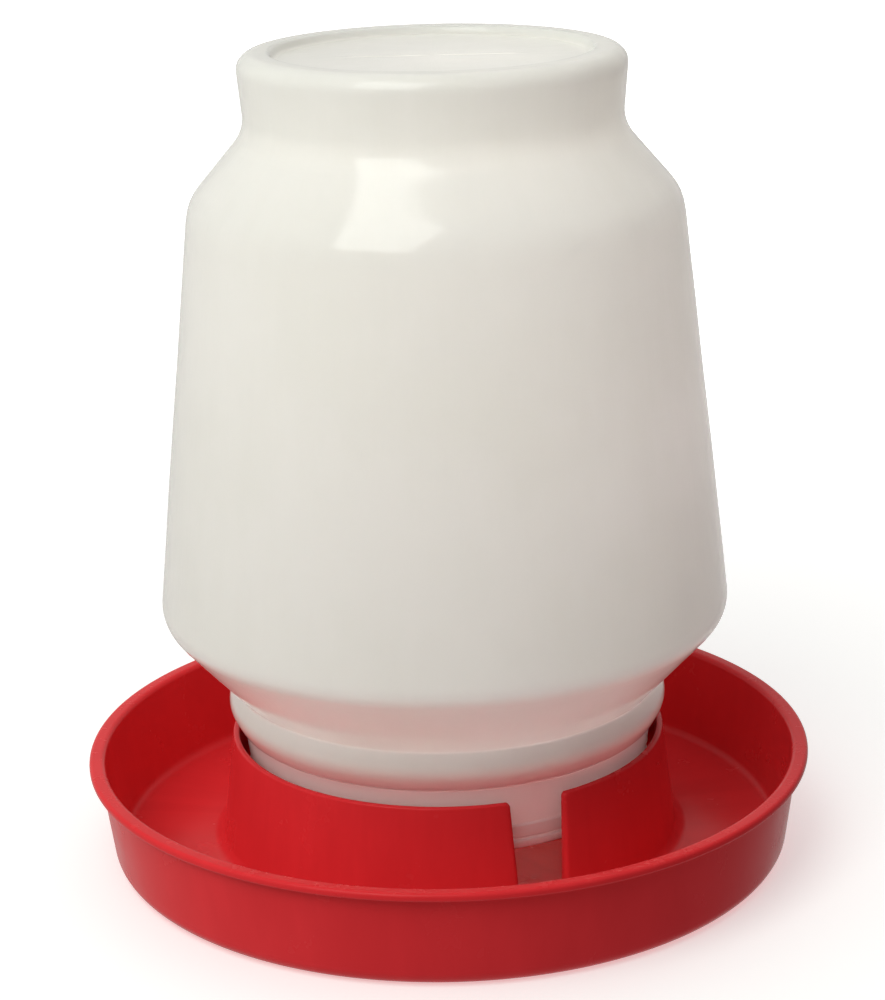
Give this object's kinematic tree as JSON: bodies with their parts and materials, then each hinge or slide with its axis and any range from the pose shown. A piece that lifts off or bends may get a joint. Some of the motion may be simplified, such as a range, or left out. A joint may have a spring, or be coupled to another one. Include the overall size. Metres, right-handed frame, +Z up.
{
  "type": "poultry waterer fount",
  "caption": "Gravity drinker for poultry: a milky tapered jar stands mouth down in the notched collar of a round red drinking tray.",
  "frame": {"origin": "centre of the tray's foot, on the surface it stands on", "axes": "+Z up along the jar's axis, -Y to the front, +X to the right; the collar's notch lies 22.6 degrees right of the front"},
  "size_m": [0.23, 0.23, 0.254],
  "materials": {
    "tray_red": "injection moulded polypropylene, satin gloss",
    "jar_milky": "blow moulded natural polyethylene, translucent, soft sheen"
  },
  "bodies": {
    "tray": {"drinker_base": "tray_red"},
    "neck_bead": {"jar_neck_bead": "jar_milky"},
    "jar": {"jar": "jar_milky"}
  },
  "joints": [
    {"name": "jar_lift", "type": "slide", "parent": "tray", "child": "neck_bead", "axis": [0, 0, 1], "range_m": [0, 0.1]},
    {"name": "jar_turn", "type": "hinge", "parent": "neck_bead", "child": "jar", "pos_m": [0, 0, 0.021], "axis": [0, 0, 1], "range_deg": [-45, 0]}
  ]
}
